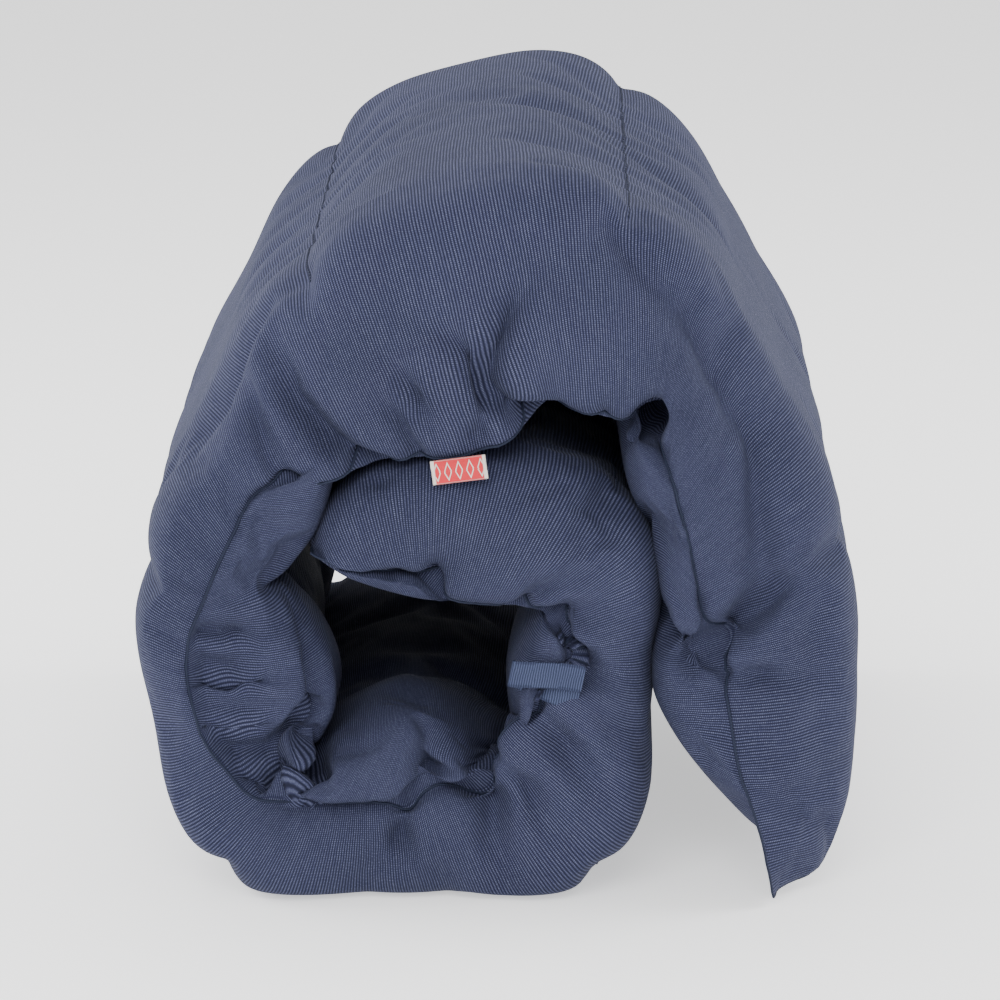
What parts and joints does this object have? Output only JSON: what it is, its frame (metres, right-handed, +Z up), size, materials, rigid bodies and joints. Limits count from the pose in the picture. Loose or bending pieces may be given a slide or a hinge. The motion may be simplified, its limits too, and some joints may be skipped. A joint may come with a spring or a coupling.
{
  "type": "roll-up padded mat",
  "caption": "Plump fibre-filled mat sewn into channels and rolled up, with a woven label, a tape loop and live hinges.",
  "frame": {"origin": "centre of the rolled mat's footprint, on the surface it stands on", "axes": "+X across the roll, towards the hanging outer end; +Y along the roll, away from the labelled edge; +Z up"},
  "size_m": [0.4708, 0.5956, 0.4877],
  "materials": {
    "cover_cloth": "fine ribbed weave, soft sheen",
    "lining_cloth": "fine ribbed weave, matt",
    "fibre_fill": "loose white polyester fibre",
    "thread": "spun polyester thread",
    "label_weave": "satin woven label with a plain mark",
    "ribbed_tape": "ribbed woven tape"
  },
  "bodies": {
    "section_1": {"outer_sheet_1": "cover_cloth", "inner_sheet_1": "lining_cloth", "wadding_1": "fibre_fill", "side_seam_front_1": "thread", "side_seam_back_1": "thread", "outer_end_seam": "thread"},
    "section_2": {"outer_sheet_2": "cover_cloth", "inner_sheet_2": "lining_cloth", "wadding_2": "fibre_fill", "side_seam_front_2": "thread", "side_seam_back_2": "thread", "channel_seam_1": "thread"},
    "section_3": {"outer_sheet_3": "cover_cloth", "inner_sheet_3": "lining_cloth", "wadding_3": "fibre_fill", "side_seam_front_3": "thread", "side_seam_back_3": "thread", "channel_seam_2": "thread"},
    "section_4": {"outer_sheet_4": "cover_cloth", "inner_sheet_4": "lining_cloth", "wadding_4": "fibre_fill", "side_seam_front_4": "thread", "side_seam_back_4": "thread", "channel_seam_3": "thread"},
    "section_5": {"outer_sheet_5": "cover_cloth", "inner_sheet_5": "lining_cloth", "wadding_5": "fibre_fill", "side_seam_front_5": "thread", "side_seam_back_5": "thread", "channel_seam_4": "thread"},
    "section_6": {"outer_sheet_6": "cover_cloth", "inner_sheet_6": "lining_cloth", "wadding_6": "fibre_fill", "side_seam_front_6": "thread", "side_seam_back_6": "thread", "channel_seam_5": "thread", "channel_seam_6": "thread"},
    "section_7": {"outer_sheet_7": "cover_cloth", "inner_sheet_7": "lining_cloth", "wadding_7": "fibre_fill", "side_seam_front_7": "thread", "side_seam_back_7": "thread", "channel_seam_7": "thread", "gathered_hem": "lining_cloth", "hem_stitch_1": "thread", "hem_stitch_2": "thread", "hem_stitch_3": "thread", "hem_stitch_4": "thread", "hem_stitch_5": "thread", "hem_stitch_6": "thread"},
    "section_8": {"outer_sheet_8": "cover_cloth", "inner_sheet_8": "lining_cloth", "wadding_8": "fibre_fill", "side_seam_front_8": "thread", "side_seam_back_8": "thread", "inner_end_seam": "thread"},
    "label": {"woven_label": "label_weave"},
    "loop": {"tape_loop": "ribbed_tape"}
  },
  "joints": [
    {"name": "channel_fold_1", "type": "hinge", "parent": "section_2", "child": "section_1", "pos_m": [0.20268, 0.0052, 0.2393], "axis": [0, -1, 0], "range_deg": [0, 33]},
    {"name": "channel_fold_2", "type": "hinge", "parent": "section_3", "child": "section_2", "pos_m": [0.07197, 0.0052, 0.44058], "axis": [0, -1, 0], "range_deg": [0, 70]},
    {"name": "channel_fold_3", "type": "hinge", "parent": "section_4", "child": "section_3", "pos_m": [-0.11388, 0.0052, 0.40107], "axis": [0, -1, 0], "range_deg": [0, 51]},
    {"name": "channel_fold_4", "type": "hinge", "parent": "section_5", "child": "section_4", "pos_m": [-0.21012, 0.0052, 0.22007], "axis": [0, -1, 0], "range_deg": [0, 42]},
    {"name": "channel_fold_5", "type": "hinge", "parent": "section_6", "child": "section_5", "pos_m": [-0.16896, 0.0052, 0.04176], "axis": [0, -1, 0], "range_deg": [0, 77]},
    {"name": "channel_fold_6", "type": "hinge", "parent": "section_6", "child": "section_7", "pos_m": [0.04104, 0.0052, 0.04176], "axis": [0, 1, 0], "range_deg": [0, 89]},
    {"name": "channel_fold_7", "type": "hinge", "parent": "section_7", "child": "section_8", "pos_m": [0.0482, 0.0052, 0.24664], "axis": [0, 1, 0], "range_deg": [0, 100]},
    {"name": "label_flip", "type": "hinge", "parent": "section_3", "child": "label", "pos_m": [-0.0288, -0.2878, 0.30553], "axis": [-0.9909, 0, -0.1344], "range_deg": [0, 95]},
    {"name": "loop_swing", "type": "hinge", "parent": "section_7", "child": "loop", "pos_m": [0.04828, -0.2878, 0.1555], "axis": [0.1971, 0, 0.9804], "range_deg": [0, 80]}
  ],
  "couplings": [
    {"joint": "channel_fold_1", "follows": "channel_fold_5", "ratio": 0.41558},
    {"joint": "channel_fold_2", "follows": "channel_fold_5", "ratio": 0.8961},
    {"joint": "channel_fold_3", "follows": "channel_fold_5", "ratio": 0.64935},
    {"joint": "channel_fold_4", "follows": "channel_fold_5", "ratio": 0.53247},
    {"joint": "channel_fold_6", "follows": "channel_fold_5", "ratio": 1.1429},
    {"joint": "channel_fold_7", "follows": "channel_fold_5", "ratio": 1.2857}
  ]
}
